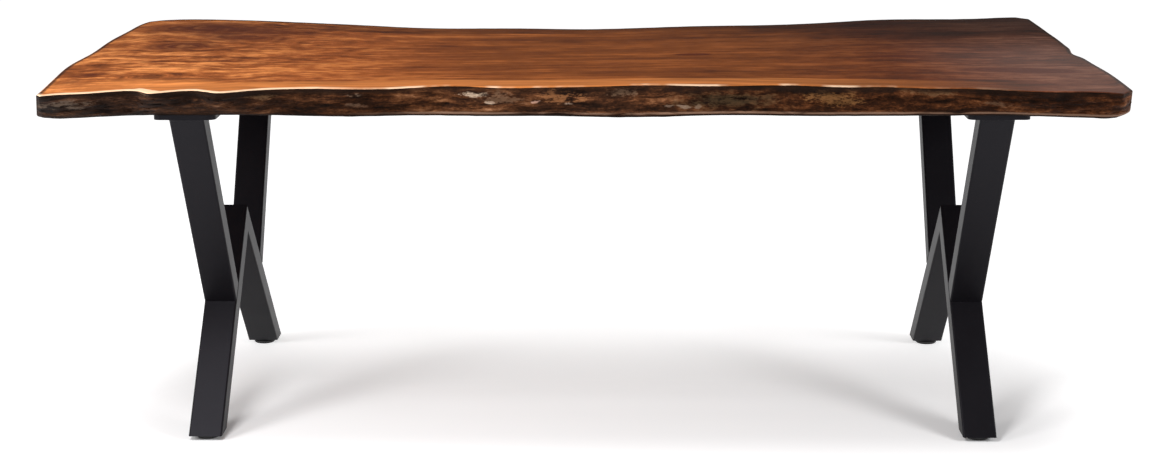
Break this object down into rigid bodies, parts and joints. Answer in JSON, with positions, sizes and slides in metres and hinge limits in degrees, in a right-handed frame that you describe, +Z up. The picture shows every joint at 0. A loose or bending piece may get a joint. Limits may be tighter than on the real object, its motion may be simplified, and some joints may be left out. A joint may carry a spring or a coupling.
{
  "type": "live edge dining table",
  "caption": "Dining table with a thick live-edge wood slab bolted to two welded X-shaped steel tube leg frames that stand on screw levelling feet.",
  "frame": {"origin": "on the floor, under the middle of the whole table's box", "axes": "+X along the slab, to the right seen from the front; +Y to the back; +Z up"},
  "size_m": [2.1849, 1.256, 0.762],
  "materials": {
    "live_edge_wood": "satin oil, dark bark edge",
    "black_powder_coat": "satin powder coat",
    "black_foot_disc": "black oxide",
    "zinc_steel": "zinc plated",
    "foot_rubber": "matte"
  },
  "bodies": {
    "table": {"tabletop_slab": "live_edge_wood", "threaded_inserts_left": "zinc_steel", "top_plate_left": "black_powder_coat", "plate_washers_left": "zinc_steel", "plate_bolts_left": "zinc_steel", "weld_beads_left": "black_powder_coat", "upper_arm_left_front": "black_powder_coat", "lower_bar_left_front": "black_powder_coat", "foot_end_plate_left_front": "black_powder_coat", "foot_nut_left_front": "zinc_steel", "upper_arm_left_rear": "black_powder_coat", "lower_bar_left_rear": "black_powder_coat", "foot_end_plate_left_rear": "black_powder_coat", "foot_nut_left_rear": "zinc_steel", "threaded_inserts_right": "zinc_steel", "top_plate_right": "black_powder_coat", "plate_washers_right": "zinc_steel", "plate_bolts_right": "zinc_steel", "weld_beads_right": "black_powder_coat", "upper_arm_right_front": "black_powder_coat", "lower_bar_right_front": "black_powder_coat", "foot_end_plate_right_front": "black_powder_coat", "foot_nut_right_front": "zinc_steel", "upper_arm_right_rear": "black_powder_coat", "lower_bar_right_rear": "black_powder_coat", "foot_end_plate_right_rear": "black_powder_coat", "foot_nut_right_rear": "zinc_steel"},
    "foot_disc_left_front": {"foot_base_left_front": "black_foot_disc", "foot_pad_left_front": "foot_rubber"},
    "foot_screw_left_front": {"foot_stud_left_front": "zinc_steel"},
    "foot_disc_left_rear": {"foot_base_left_rear": "black_foot_disc", "foot_pad_left_rear": "foot_rubber"},
    "foot_screw_left_rear": {"foot_stud_left_rear": "zinc_steel"},
    "foot_disc_right_front": {"foot_base_right_front": "black_foot_disc", "foot_pad_right_front": "foot_rubber"},
    "foot_screw_right_front": {"foot_stud_right_front": "zinc_steel"},
    "foot_disc_right_rear": {"foot_base_right_rear": "black_foot_disc", "foot_pad_right_rear": "foot_rubber"},
    "foot_screw_right_rear": {"foot_stud_right_rear": "zinc_steel"}
  },
  "joints": [
    {"name": "foot_travel_left_front", "type": "slide", "parent": "table", "child": "foot_disc_left_front", "axis": [0, 0, -1], "range_m": [0, 0.01]},
    {"name": "foot_turn_left_front", "type": "hinge", "parent": "foot_disc_left_front", "child": "foot_screw_left_front", "pos_m": [-0.789, -0.38288, 0.005], "axis": [0, 0, -1], "range_deg": [0, 2401]},
    {"name": "foot_travel_left_rear", "type": "slide", "parent": "table", "child": "foot_disc_left_rear", "axis": [0, 0, -1], "range_m": [0, 0.01]},
    {"name": "foot_turn_left_rear", "type": "hinge", "parent": "foot_disc_left_rear", "child": "foot_screw_left_rear", "pos_m": [-0.789, 0.35588, 0.005], "axis": [0, 0, -1], "range_deg": [0, 2401]},
    {"name": "foot_travel_right_front", "type": "slide", "parent": "table", "child": "foot_disc_right_front", "axis": [0, 0, -1], "range_m": [0, 0.01]},
    {"name": "foot_turn_right_front", "type": "hinge", "parent": "foot_disc_right_front", "child": "foot_screw_right_front", "pos_m": [0.828, -0.38288, 0.005], "axis": [0, 0, -1], "range_deg": [0, 2401]},
    {"name": "foot_travel_right_rear", "type": "slide", "parent": "table", "child": "foot_disc_right_rear", "axis": [0, 0, -1], "range_m": [0, 0.01]},
    {"name": "foot_turn_right_rear", "type": "hinge", "parent": "foot_disc_right_rear", "child": "foot_screw_right_rear", "pos_m": [0.828, 0.35588, 0.005], "axis": [0, 0, -1], "range_deg": [0, 2401]}
  ],
  "couplings": [
    {"joint": "foot_turn_left_front", "follows": "foot_travel_left_front", "rad_per_m": 4188.8},
    {"joint": "foot_turn_left_rear", "follows": "foot_travel_left_rear", "rad_per_m": 4188.8},
    {"joint": "foot_turn_right_front", "follows": "foot_travel_right_front", "rad_per_m": 4188.8},
    {"joint": "foot_turn_right_rear", "follows": "foot_travel_right_rear", "rad_per_m": 4188.8}
  ]
}
